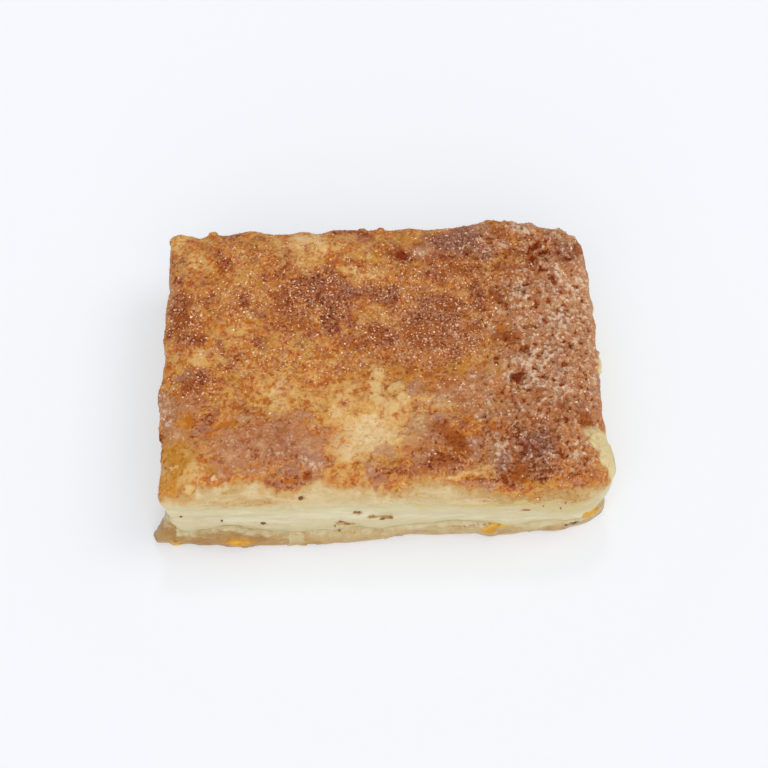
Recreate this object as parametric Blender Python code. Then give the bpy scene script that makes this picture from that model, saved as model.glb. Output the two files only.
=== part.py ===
"""A cinnamon-sugar cheesecake bar: a baked dough base, a cream-cheese filling and a sugared dough top.

Each layer is one closed solid and runs through the whole bar, so it shows on all four sides.
X runs along the long side, Y from the front cut to the back, and Z up from the surface that
the bar rests on. The origin is under the middle of the bar.
"""

from collections import namedtuple
from math import copysign, exp, hypot

import bmesh
import bpy
from mathutils import Vector, noise

MM = 0.001

# The bar as the knife left it, before its layers swelled, slumped or spread
WIDTH = 79.6 * MM
DEPTH = 56.5 * MM
HEIGHT = 19.3 * MM
BASE_THICKNESS = 3.8 * MM
FILLING_TOP = 12.7 * MM
FILLING_FALL = 2.6 * MM  # the filling is this much lower at the right, where the top dough is thicker
LAYER_GAP = 0.3 * MM

LEFT, RIGHT, FRONT, BACK = "left", "right", "front", "back"
CORNER_RADIUS = {
    (LEFT, FRONT): 0.9 * MM,
    (LEFT, BACK): 1.2 * MM,
    (RIGHT, BACK): 6.0 * MM,
    (RIGHT, FRONT): 5.0 * MM,
}

# How much of each layer near the rim takes part in the unevenness of the sides
RIM_REACH = 3.2 * MM
SHOULDER_REACH = 4.2 * MM
SHOULDER_DROP = 1.5 * MM
LIP_RISE = 4.6 * MM  # the base dough is pressed up the left side

# The front left corner is dragged out to a point: this far at the foot, and less further up
EAR_OUT = 4.5 * MM
EAR_HEIGHT = 10.5 * MM
EAR_REACH = 3.6 * MM
EAR_CURVE = 1.3

# Cells of the grid that each layer is made from
COLUMNS = 52
ROWS = 37

# Smooth unevenness: the length of its waves, how high they stand, and a shift between patterns
Ripple = namedtuple("Ripple", "length height shift")
SIDE_RIPPLE = Ripple(9 * MM, 0.5 * MM, 0.0)
BASE_LINE_RIPPLE = Ripple(8 * MM, 0.9 * MM, 0.0)
FILLING_LINE_RIPPLE = Ripple(13 * MM, 1.2 * MM, 20 * MM)
TOP_RIPPLE = Ripple(21 * MM, 0.9 * MM, 10 * MM)
CRAGS = (Ripple(6.5 * MM, 0.9 * MM, 0.0), Ripple(3.3 * MM, 0.7 * MM, 30 * MM))
RIPPLE_START = Vector((137, 211, 53)) * MM  # off the bar, where the patterns' grids all meet

# The crags are this share of their height where the top is soft, and grow to the clotted right
SOFT_CRAGS = 0.5
CLOTTED_CRAGS = 1.3
CLOTTING_STARTS = -8 * MM
CLOTTING_ENDS = 22 * MM

# A place where a side stands out: how far along it, over what length, how far out, and at which
# level of the layer, from 0 at its lower edge to 1 at its upper one
Bulge = namedtuple("Bulge", "side along reach out level level_reach")
TOP_BULGES = (
    Bulge(FRONT, 0.0, 60 * MM, -1.7 * MM, 1.0, 0.8),
    Bulge(BACK, 0.0, 30 * MM, 0.8 * MM, 0.8, 0.5),
    Bulge(BACK, 22.5 * MM, 4 * MM, 1.4 * MM, 0.8, 0.5),
    Bulge(BACK, 35 * MM, 6 * MM, -0.6 * MM, 0.8, 0.6),
    Bulge(BACK, -33.5 * MM, 4 * MM, 0.4 * MM, 0.9, 0.5),
    Bulge(BACK, -32.5 * MM, 1.5 * MM, 0.7 * MM, 0.9, 0.3),
    Bulge(BACK, -38.5 * MM, 2.5 * MM, 1.1 * MM, 0.9, 0.4),
    Bulge(RIGHT, -24 * MM, 6 * MM, 1.4 * MM, 0.3, 0.6),
    Bulge(RIGHT, 21 * MM, 6 * MM, -0.6 * MM, 0.5, 0.8),
    Bulge(RIGHT, -7 * MM, 4 * MM, -0.7 * MM, 0.5, 0.8),
    Bulge(LEFT, -6 * MM, 3 * MM, 0.6 * MM, 0.7, 0.4),
    Bulge(LEFT, -14 * MM, 1.5 * MM, 0.5 * MM, 0.7, 0.4),
    Bulge(LEFT, 19 * MM, 2.5 * MM, -0.6 * MM, 0.7, 0.5),
)
FILLING_BULGES = (
    Bulge(RIGHT, -2.6 * MM, 3.5 * MM, 1.1 * MM, 0.75, 0.4),
    Bulge(RIGHT, -24 * MM, 6 * MM, 2.0 * MM, 0.6, 0.6),
    Bulge(FRONT, -8 * MM, 14 * MM, 0.3 * MM, 0.5, 0.5),
)
BASE_BULGES = (
    Bulge(FRONT, -19 * MM, 19 * MM, 1.0 * MM, 0.2, 0.6),
    Bulge(FRONT, 19.6 * MM, 1.8 * MM, 0.9 * MM, 0.4, 0.5),
    Bulge(FRONT, -27.5 * MM, 2.6 * MM, 0.6 * MM, 0.3, 0.5),
    Bulge(RIGHT, -24 * MM, 7 * MM, 1.7 * MM, 0.3, 0.6),
    Bulge(FRONT, 37 * MM, 3 * MM, -0.7 * MM, 0.3, 0.6),
)

# A hump or a hollow, as an ellipse: its middle, its half-axes and its height
Hump = namedtuple("Hump", "x y across deep height")
TOP_HUMPS = (
    Hump(-35.1 * MM, -22.7 * MM, 2.4 * MM, 2.6 * MM, 0.6 * MM),
    Hump(3.4 * MM, -8.7 * MM, 3.0 * MM, 3.6 * MM, 0.6 * MM),
    Hump(-1.1 * MM, 22.2 * MM, 2.0 * MM, 2.0 * MM, 0.4 * MM),
    Hump(9.4 * MM, 23.2 * MM, 2.4 * MM, 1.8 * MM, 0.7 * MM),
    Hump(-17.6 * MM, -16.7 * MM, 9.0 * MM, 6.0 * MM, 0.6 * MM),
    Hump(6.0 * MM, -23.7 * MM, 12.0 * MM, 2.6 * MM, 0.5 * MM),
    Hump(27.4 * MM, -21.7 * MM, 6.5 * MM, 5.5 * MM, 0.7 * MM),
    Hump(19.0 * MM, 27.5 * MM, 8.0 * MM, 3.0 * MM, 0.9 * MM),
    Hump(33.0 * MM, 14.0 * MM, 8.0 * MM, 11.0 * MM, 0.6 * MM),
    Hump(24.9 * MM, -5.2 * MM, 1.7 * MM, 1.6 * MM, -1.1 * MM),
    Hump(32.4 * MM, 16.7 * MM, 1.6 * MM, 1.5 * MM, -0.8 * MM),
    Hump(31.2 * MM, 23.7 * MM, 1.8 * MM, 1.7 * MM, -0.8 * MM),
    Hump(28.4 * MM, -0.2 * MM, 1.5 * MM, 1.3 * MM, -0.7 * MM),
    Hump(37.4 * MM, -11.7 * MM, 1.6 * MM, 1.6 * MM, -0.7 * MM),
    Hump(-2.6 * MM, -15.5 * MM, 6.0 * MM, 5.0 * MM, -0.4 * MM),
    Hump(39.5 * MM, -21.0 * MM, 3.2 * MM, 5.5 * MM, -1.0 * MM),
)
BASE_LINE_HUMPS = (
    Hump(-30.0 * MM, -DEPTH / 2, 3.6 * MM, RIM_REACH, 2.6 * MM),
    Hump(-16.0 * MM, -DEPTH / 2, 4.5 * MM, RIM_REACH, -1.5 * MM),
    Hump(-10.0 * MM, -DEPTH / 2, 2.0 * MM, RIM_REACH, -1.4 * MM),
    Hump(-1.3 * MM, -DEPTH / 2, 2.2 * MM, RIM_REACH, -1.7 * MM),
    Hump(13.0 * MM, -DEPTH / 2, 6.0 * MM, RIM_REACH, 1.8 * MM),
    Hump(23.4 * MM, -DEPTH / 2, 3.0 * MM, RIM_REACH, -1.8 * MM),
    Hump(35.5 * MM, -DEPTH / 2, 4.0 * MM, RIM_REACH, 0.6 * MM),
)


def ease(share):
    """0 below 0, 1 above 1, and a smooth step between."""
    share = min(max(share, 0.0), 1.0)
    return share * share * (3 - 2 * share)


def ripple_at(x, y, z, ripple):
    place = Vector((x, y, z + ripple.shift)) + RIPPLE_START
    return ripple.height * noise.noise(place / ripple.length)


def humps_at(x, y, humps):
    return sum(
        h.height * exp(-(((x - h.x) / h.across) ** 2) - ((y - h.y) / h.deep) ** 2) for h in humps
    )


def nearness(distance, reach):
    """1 at the rim, falling to 0 at this reach inside it."""
    return max(0.0, 1 - distance / reach) ** 2


def rim(x, y, reach):
    """How near a point is to the rim, from 0 well inside to 1 on it."""
    by_x = nearness(WIDTH / 2 - abs(x), reach)
    by_y = nearness(DEPTH / 2 - abs(y), reach)
    return 1 - (1 - by_x) * (1 - by_y)


def sides(x, y):
    """The two sides that a point is nearest to, one across and one along Y."""
    return RIGHT if x > 0 else LEFT, BACK if y > 0 else FRONT


def cut_outline(x, y):
    """Bends the square corners of a rectangle into arcs, and the grid lines inside them alike."""
    radius = CORNER_RADIUS[sides(x, y)]
    past_x = abs(x) - (WIDTH / 2 - radius)
    past_y = abs(y) - (DEPTH / 2 - radius)
    if past_x <= 0 or past_y <= 0:
        return x, y
    shrink = max(past_x, past_y) / hypot(past_x, past_y)
    return (
        copysign(WIDTH / 2 - radius + past_x * shrink, x),
        copysign(DEPTH / 2 - radius + past_y * shrink, y),
    )


def table(_x, _y):
    """The flat surface under the bar."""
    return 0.0


def base_line(x, y):
    """Height at which the base dough ends: flat inside, wavy along the rim, and a lip at the left."""
    waves = ripple_at(x, y, 0.0, BASE_LINE_RIPPLE) + humps_at(x, y, BASE_LINE_HUMPS)
    lip = LIP_RISE * nearness(x + WIDTH / 2, RIM_REACH)
    return BASE_THICKNESS + waves * rim(x, y, RIM_REACH) + lip


def filling_line(x, y):
    """Height at which the filling ends: an even fall to the right, and soft waves along the rim."""
    fall = FILLING_FALL * (x / WIDTH)
    waves = ripple_at(x, y, 0.0, FILLING_LINE_RIPPLE)
    return FILLING_TOP - fall + waves * rim(x, y, RIM_REACH)


def sugared_top(x, y):
    """Height of the top: soft at the left, craggy where sugar has clotted at the right."""
    clotted = ease((x - CLOTTING_STARTS) / (CLOTTING_ENDS - CLOTTING_STARTS))
    crag_share = SOFT_CRAGS + (CLOTTED_CRAGS - SOFT_CRAGS) * clotted
    crags = sum(ripple_at(x, y, 0.0, ripple) for ripple in CRAGS)
    shoulder = SHOULDER_DROP * rim(x, y, SHOULDER_REACH)
    relief = ripple_at(x, y, 0.0, TOP_RIPPLE) + crag_share * crags + humps_at(x, y, TOP_HUMPS)
    return HEIGHT + relief - shoulder


# What makes one layer: the heights it fills, the outward swell of its side from its lower edge to
# its upper one in even steps, the bulges and the crumbly grain of its side, and its looks
Layer = namedtuple("Layer", "name lower upper swells bulges crumble material colour roughness")
LAYERS = (
    Layer(
        "base_crust", table, base_line,
        (0.2 * MM, 0.6 * MM, 0.7 * MM, 0.3 * MM, 0.0), BASE_BULGES, Ripple(3.4 * MM, 0.5 * MM, 0.0),
        "baked_dough", (0.50, 0.34, 0.15), 0.5,
    ),
    Layer(
        "cream_filling", base_line, filling_line,
        (0.0, 0.1 * MM, 0.3 * MM, 0.2 * MM, 0.0), FILLING_BULGES, Ripple(3.4 * MM, 0.1 * MM, 0.0),
        "cream_cheese", (0.67, 0.58, 0.36), 0.4,
    ),
    Layer(
        "top_crust", filling_line, sugared_top,
        (0.0, 0.7 * MM, 1.2 * MM, 1.3 * MM, 0.5 * MM), TOP_BULGES, Ripple(3.4 * MM, 0.6 * MM, 0.0),
        "cinnamon_sugar", (0.46, 0.20, 0.08), 0.35,
    ),
)


def standing_out(side, along, level, swell, bulges):
    """How far one side of a layer stands out past the knife cut, at a point along it."""
    out = swell
    for bulge in bulges:
        if bulge.side == side:
            sideways = ((along - bulge.along) / bulge.reach) ** 4
            upward = ((level - bulge.level) / bulge.level_reach) ** 2
            out += bulge.out * exp(-sideways - upward)
    return out


def ear(y, z):
    """How far the left side is dragged out: most at the foot of the front corner."""
    forward = ((y + DEPTH / 2) / EAR_REACH) ** 4
    upward = max(0.0, 1 - z / EAR_HEIGHT) ** EAR_CURVE
    return EAR_OUT * upward * exp(-forward)


def block(rings):
    """A unit cube cut into COLUMNS by ROWS cells, with its sides in this many steps."""
    cube = bmesh.new()
    bmesh.ops.create_cube(cube, size=1.0)
    for axis, parts in enumerate((COLUMNS, ROWS, rings)):
        along = [e for e in cube.edges if abs(e.verts[0].co[axis] - e.verts[1].co[axis]) > 0.5]
        bmesh.ops.subdivide_edges(cube, edges=along, cuts=parts - 1, use_grid_fill=True)
    return cube


def placed(unit, layer, gap):
    """Where a point of the unit cube lies in a layer.

    The layer's lower face is raised by the gap at the end, so that it follows the face below it
    at every point, however steep that is.
    """
    level = unit.z + 0.5
    x, y = cut_outline(unit.x * WIDTH, unit.y * DEPTH)
    z = layer.lower(x, y) + level * (layer.upper(x, y) - layer.lower(x, y))
    by_x = nearness(WIDTH / 2 - abs(x), RIM_REACH)
    by_y = nearness(DEPTH / 2 - abs(y), RIM_REACH)
    swell = layer.swells[round(level * (len(layer.swells) - 1))]
    out_x = out_y = 0.0
    if swell:
        swell += ripple_at(x, y, z, SIDE_RIPPLE) + ripple_at(x, y, z, layer.crumble)
        side_x, side_y = sides(x, y)
        out_x = standing_out(side_x, y, level, swell, layer.bulges)
        out_y = standing_out(side_y, x, level, swell, layer.bulges)
    if x < 0:
        out_x += ear(y, z)
    return (
        x + out_x * by_x * copysign(1, x),
        y + out_y * by_y * copysign(1, y),
        z + gap * (1 - level),
    )


def finish(layer):
    """A matt food surface with the layer's mean colour."""
    material = bpy.data.materials.new(layer.material)
    material.use_nodes = True
    shader = material.node_tree.nodes["Principled BSDF"]
    shader.inputs["Base Color"].default_value = (*layer.colour, 1.0)
    shader.inputs["Roughness"].default_value = layer.roughness
    material.diffuse_color = (*layer.colour, 1.0)
    return material


def add_layer(layer, gap, parent, collection):
    """Adds one layer, with the cells on the two sides of a seam split in two the same way."""
    cube = block(len(layer.swells) - 1)
    for vertex in cube.verts:
        vertex.co = placed(vertex.co, layer, gap)
    bmesh.ops.triangulate(cube, faces=cube.faces[:], quad_method="SHORT_EDGE")
    mesh = bpy.data.meshes.new(layer.name)
    cube.to_mesh(mesh)
    cube.free()
    mesh.materials.append(finish(layer))
    mesh.shade_smooth()
    mesh.set_sharp_from_angle(angle=0.7)
    solid = bpy.data.objects.new(layer.name, mesh)
    solid.parent = parent
    collection.objects.link(solid)
    return solid


def stand_on_origin(parent, solids):
    """Moves the bar so that the origin is under the middle of its bounding box."""
    corners = [v.co for solid in solids for v in solid.data.vertices]
    for axis in range(2):
        spread = [corner[axis] for corner in corners]
        parent.location[axis] = -(min(spread) + max(spread)) / 2


def main():
    for old in list(bpy.data.objects):
        bpy.data.objects.remove(old)
    collection = bpy.data.collections.new("cheesecake_bar")
    bpy.context.scene.collection.children.link(collection)
    bar = bpy.data.objects.new("bar", None)
    collection.objects.link(bar)
    solids = []
    for layer in LAYERS:
        gap = LAYER_GAP if solids else 0.0
        solids.append(add_layer(layer, gap, bar, collection))
    stand_on_origin(bar, solids)


main()
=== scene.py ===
"""Cinnamon sugar cheesecake bar: the finish of every surface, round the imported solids.

Baked dough lies below and above a cream cheese filling. The top is caramelised cinnamon sugar,
grainy in the middle, syrupy at the left front, and clotted and pitted on the right.

Sizes are in millimetres, x to the right and y to the back from the bar's middle. A place on the
top is where the camera sees it on a level plane at TOP_LEVEL, and a place on the front is where
it sees it on an upright plane at FRONT_PLANE, so both also hold where the surface rounds over.
"""

from collections import namedtuple
from contextlib import contextmanager
from math import cos, pi, radians, sin, tan

import bpy
import numpy as np
from mathutils import Matrix, Vector, noise
from mathutils.kdtree import KDTree


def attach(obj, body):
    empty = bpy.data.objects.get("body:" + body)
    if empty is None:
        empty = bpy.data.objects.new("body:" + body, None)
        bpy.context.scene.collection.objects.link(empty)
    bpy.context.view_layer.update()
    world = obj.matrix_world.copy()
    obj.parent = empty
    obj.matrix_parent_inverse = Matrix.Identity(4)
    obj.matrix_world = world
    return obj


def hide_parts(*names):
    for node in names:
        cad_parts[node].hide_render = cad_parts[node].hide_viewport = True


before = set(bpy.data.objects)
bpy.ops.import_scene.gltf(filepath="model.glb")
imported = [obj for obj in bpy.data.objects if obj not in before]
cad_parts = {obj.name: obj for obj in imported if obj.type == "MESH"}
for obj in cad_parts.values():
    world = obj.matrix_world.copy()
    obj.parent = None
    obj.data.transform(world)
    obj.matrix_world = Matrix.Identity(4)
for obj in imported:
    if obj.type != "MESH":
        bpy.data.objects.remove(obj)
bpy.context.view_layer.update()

MM = 0.001
WELD = 0.01 * MM

# The camera: a long lens, well above the bar and turned a little clockwise
CAMERA_AIM = (1.47, -1.20, 9.75)
CAMERA_HEIGHT = radians(60)
CAMERA_DISTANCE = 340
CAMERA_ROLL = radians(1.7)
CAMERA_LENS = 82.67

TOP_LEVEL = 18.8
FRONT_PLANE = -29.0

# How far the filling runs up into the top crust and down into the base, to close the seams
FILLING_OVERLAP = 0.7
# How far both layers swell out at the upper seam, so that one side runs on into the other
SEAM_SWELL = 0.55
# Where the lights hang, in metres; they shine as if from far away
LAMP_DISTANCE = 0.5
# The y up to which a point takes what is painted on the front, and an x that no patch reaches
FRONT_LIMIT = -18
OUT_OF_SIGHT = 999.0
# The middle of the rounded corners on the right: x, and y towards the front and the back
ROUNDED_CORNER = (33, 19.5)
# How many sugar grains and cinnamon flecks lie on the bar, and how small and large they are
GRAIN_COUNT, GRAIN_SIZES = 16600, (0.26, 0.56)
FLECK_COUNT, FLECK_SIZES = 4500, (0.14, 0.36)
# How near its own place a crumb looks for the front's surface, and how thick it is
CRUMB_REACH, CRUMB_THICKNESS = 0.6, 0.4

# Where the cinnamon sugar ends along the front: x and y
FRONT_EDGE = (
    (-41, -28), (-35.8, -28.5), (-33.4, -28.4), (-33, -26.3), (-29, -26.5), (-25.7, -25.8), (-22.3, -25.7),
    (-19.9, -27.2), (-18.8, -28.3), (-15.4, -28.4), (-14.3, -27.2), (-12.5, -26.7), (-11.2, -25.5),
    (-7.4, -27.4), (-1.6, -27.6), (0.2, -28.5), (2.9, -29.2), (5.1, -28.3), (7, -27.2), (9.3, -27),
    (12, -26.9), (15.9, -28.6), (16.6, -29.4), (18.2, -28.5), (20.9, -29.6), (22.3, -30.2), (25.7, -30.8),
    (29.3, -31.1), (30, -29.4), (34.8, -29.6), (41, -29.2),
)

# A soft ellipse: its middle, its full width and depth, its strength and its turn in degrees
Patch = namedtuple("Patch", "x y across deep amount turn", defaults=(0,))


def ellipses(*rows):
    """Patches from rows: the middle, width and depth, the strength in hundredths and any turn."""
    return [Patch(*row[:4], row[4] / 100, *row[5:]) for row in rows]


# Cinnamon, from a reddish dusting to a dark crust
CINNAMON = ellipses(
    (-37.5, 11, 4.5, 13, 75), (-37, 9, 3.5, 5, 100), (-34.5, 4.5, 6, 3.5, 85, -20), (-38.5, 6, 3, 4, 80),
    (-29.5, 22.5, 2.6, 8, 75, 30), (-25, 13, 2.6, 5, 75, 10), (-33.5, -4, 6, 5, 75),
    (-27, -0.5, 4, 4.5, 65, -20), (-17.5, 22.5, 5, 6, 60), (-12, 16.5, 9, 5.5, 90, -20),
    (-9, 11.5, 6, 9, 90, 10), (-15.5, 9.5, 6, 5, 60), (-8, 8, 4, 5, 100), (-17.5, 14, 6, 7, 70),
    (2, 13.5, 7.5, 5, 85), (-5, 3.5, 6, 4.5, 60), (2, 3, 5.5, 4.5, 75), (10.5, 8, 13, 6, 90),
    (10, 2.5, 10, 5, 80), (11, 12, 10, 4, 70), (17, 25, 6.5, 5, 85), (13, 26, 6, 3.5, 65),
    (5.6, 22.4, 4, 3, 100, -20), (3.5, 24.5, 5, 3, 65), (-3, 21, 9, 3, 50), (6, 18, 4, 4, 50),
    (11.5, 18, 6, 4, 80), (19.5, 12.5, 4, 8, 75, 10), (23.5, 12, 3.5, 5, 70), (21, 23, 5, 3, 55),
    (-20, -18.6, 20, 9, 70), (-13, -20.5, 7, 7, 72), (-24, -13.4, 13, 3, 45, 8), (-34.5, -9, 7, 6, 50),
    (-28, -22, 6, 5, 50), (-16, -26.4, 9, 2.8, 80), (2.4, -25, 10, 2.8, 70, 8), (-6, -26, 6, 2, 55),
    (11.5, -23, 10, 4, 85), (14, -18.4, 4, 9, 80, 38), (7, -20, 7, 5, 60), (27, -20, 10, 11, 95),
    (31, -18, 7, 8, 80), (24, -26.6, 9, 3, 85), (19.5, -27.4, 7, 2.6, 80), (36, -27, 9, 3, 50),
    (37.5, -13, 5, 5, 75), (28.3, -0.4, 3.4, 2.6, 85), (32, 22.5, 6, 7, 65), (38, 23, 6, 9, 65),
    (32, 2, 24, 54, 40), (15, -8, 18, 12, 35), (26, 16, 8, 6, 40), (-24, 21, 6, 5, 32),
    (12, 12, 34, 34, 32), (-12, 13, 20, 20, 35), (-33, 12, 14, 14, 32), (12, -22, 30, 10, 40),
    (5, -1, 20, 8, 45), (-37.6, 22, 3, 5, 70), (-33, 25.5, 6, 2.4, 40), (-27.5, 28.6, 5, 2.4, 80),
    (-22, 26, 5, 4, 55), (-5, 28.4, 10, 2.6, 75), (-1, 26.6, 4, 3.4, 60), (24.5, 19, 4, 2.6, 80),
    (24, 27, 4, 4.4, 70), (28, 21.6, 7, 3, 70), (31.4, 19, 3.4, 5, 70), (40.4, 23.5, 3, 4, 85),
    (11, 22, 5, 4, 65), (6, 20.6, 8, 2, 55), (-7, 17, 3.4, 5, 70), (-5.6, 14.6, 7, 5, 80),
    (-3, 14, 3.4, 4, 75), (-5, 7.8, 4.4, 3, 70), (-20.5, 8, 3.4, 8, 50), (-21.5, 3.5, 4.4, 3.6, 70),
    (-24, 11, 6, 2.4, 50), (12, 15.5, 5, 3.4, 65), (9, 4, 4, 8, 60), (14.6, 0, 2.6, 10, 55),
    (-2.5, 2, 3, 5, 65), (24.5, 3, 6.4, 3, 70), (19, 6, 3.4, 4, 60), (6.5, -4, 6, 3, 60),
    (-28, -4.4, 6, 3.4, 60), (-21, -4.4, 2.6, 3, 50), (-31.5, -13, 6, 3, 75, 20), (-26, -10.5, 7, 2, 55),
    (-34, -18, 5.4, 5, 60), (11, -17.6, 5.4, 4, 70), (15.4, -15, 3.4, 3.4, 60), (29, -15, 5, 3.4, 80),
    (32, -12, 3.4, 3.4, 65), (38.4, -16.6, 3.4, 2.6, 75), (23, -16, 5, 3, 60), (25.6, -24, 4.6, 6, 95),
    (31, -22, 6, 4, 85), (24, -28.4, 4, 3, 90), (-15, 13.6, 5, 4, 80), (-18.6, 19.4, 6, 3, 60),
    (-9, -23, 2.6, 4, 50), (20, -19, 7, 6, 50), (-36, 23.8, 6, 2, 60), (-33, 18, 4, 3, 50),
    (-27, 14.6, 3, 3, 50), (-22, -28, 8, 1.8, 70), (-13.6, 7, 3, 3.4, 60), (-0.4, 5.4, 4, 5, 75),
    (8.8, 2.4, 3.4, 7, 75), (3.6, 10.4, 4, 2.6, 65), (8.6, 24.8, 4, 2.4, 60), (14, 20, 10, 7, 60),
    (6.4, 19, 4, 8, 55), (30, 26, 7, 3, 50), (-29, 3, 3, 5, 55, 20), (-36, 1.4, 5, 3, 45),
    (1.2, -7.2, 2, 2, 70), (17, 3.4, 6, 3, 60, -20), (20.4, -23.4, 3, 3.4, 60), (36, -29, 4, 2, 70),
    (-34.4, -6, 4.6, 4, 75), (13, 3, 7, 6, 70), (40.4, 23.4, 2.6, 5, 110), (31, 20, 2.2, 3.4, 70),
    (15, 10.4, 6, 2.2, 80), (12.6, 15.4, 2.6, 2.4, 80), (26, -25.6, 4, 4, 110), (24, -22, 2.2, 4, 90),
    (-18, -18, 3.6, 9, 90), (-37.6, 22.4, 3.4, 3, 90), (29, 0.8, 3, 2.4, 80), (-40.2, -18.6, 2.2, 7, 90),
    (36, 24, 6, 6, 70), (12.5, 24.4, 4.4, 3.4, 90), (29, -26.4, 5, 3, 90), (-12.6, 13, 2.6, 3, 90),
    (-11.6, 5, 6, 2.2, 65), (-15.4, 21, 4, 2.8, 65), (-37.4, 18, 2.6, 4, 65), (7.2, -12, 1.4, 2.6, 90, -20),
    (10.4, -12.8, 3, 1.6, 80, 20), (-18.4, 11.2, 3.4, 3, 70), (-7.8, 13, 5, 4, 95), (-8.5, 19, 3, 3, 75),
    (-12.8, 12.4, 3, 3, 110), (-5, 11.4, 3, 2.4, 85), (-3.4, 20.4, 5, 2, 65), (7, 21, 6, 2.4, 80),
    (9, 24.4, 3, 2.4, 80), (17.4, 25, 3, 2, 90), (19, 17.4, 5, 3, 75), (25.8, 24.4, 3, 2.4, 80),
    (-31.6, 13, 3, 6, 60), (-17, 7, 4, 3, 70), (-19, 18, 5, 3, 70), (-4, 7, 3, 2.4, 85),
    (1.4, 4, 2.4, 2.4, 80), (15, 5, 3, 3, 75), (15, 1, 3, 3, 70), (15, -3, 3, 2.4, 65),
    (6.2, -10.8, 1.4, 2.6, 80), (4.5, -5.8, 1.6, 1.6, 70), (38.8, -17.6, 2, 2.4, 95),
    (29, -24.6, 8, 4, 100), (-19, -20, 5, 6, 85), (-22.6, -27.8, 4, 1.4, 100), (24.4, 3, 6, 2.6, 90),
    (34, -11.6, 4, 2.4, 80),
)
# Dough that shows through, pale and only dusted
BARE = ellipses(
    (-34.8, 22, 8, 5, 67, -10), (-38.2, 25.5, 4, 4, 65), (-13, 26.4, 15, 3.2, 80),
    (-12, 22.8, 6.5, 5.5, 65), (-0.5, 18.3, 9, 2.3, 75), (-0.5, 9.8, 4.5, 5.5, 60),
    (-26.5, 6, 4.5, 5.5, 52, 20), (-32, 0.3, 8, 3.4, 74), (-38.2, 1, 3.8, 3.2, 40),
    (-17.5, -7, 8, 7, 68, -20), (-18.7, -7.6, 4.6, 6.4, 80, 15), (-18, -9.8, 5.4, 4.4, 70),
    (-1.2, -17, 13, 11.5, 100, 5), (-6, -10.5, 10, 6, 60), (-23, -5.5, 9, 4.5, 42),
    (-10.5, -7.5, 11, 5, 50), (15.5, -25.7, 12, 1.5, 80, 7), (-9, -25.8, 4.4, 3, 50), (-21, 14, 5, 3, 45),
    (17.2, 14.5, 2.6, 9, 50, 12), (12.3, 14.6, 3.4, 3, 45), (12, -11, 4.4, 2.8, 55), (8, -14, 3, 4.5, 55),
    (-15, 5, 4, 2.4, 40), (27.5, 14, 2.6, 7, 40, -15), (-28.5, 15, 3, 5, 40, 30), (-30, -27.2, 5, 1.4, 50),
    (-29.9, -25, 1.2, 0.9, 130), (-37.6, -22.8, 1.3, 1.1, 110), (2, -12.6, 8, 6, 75, 20),
    (-5.5, -19.5, 8, 7, 90), (-6, -26, 5.4, 3, 50), (-13.5, 28, 6, 2.6, 75), (-18, 23, 3.6, 3.4, 55),
    (-28.5, -25, 5, 2.6, 50), (9.2, -9.4, 4.6, 2, 80, -10), (2.4, -8.6, 9, 8, 55), (5.6, -16, 5, 9, 75),
    (-3.5, 19, 6, 2.6, 75), (21, -26.4, 4.4, 1.6, 60), (-6, -9, 4.4, 3.4, 75), (-38, 27.4, 5, 4, 68),
    (-9, 25.4, 6, 5, 70), (7.4, -7.4, 3.4, 2.4, 60), (-2, -24.4, 5, 2, 55), (-17.4, -5.4, 6, 4, 72),
    (-5, -7.6, 3, 4, 65), (-7.6, -13, 4, 5, 85), (-1.5, -13, 5, 3, 100), (-31, 0.6, 3, 3, 75),
    (-35.8, -6.6, 3, 2, 50), (-24, 4.4, 3, 2.4, 60), (-13.6, 18.6, 2.4, 2.4, 60), (1, 9, 3, 4, 65),
    (5.4, 7.8, 3, 2, 65), (-10.2, 9, 2.4, 4, 60),
)
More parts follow.
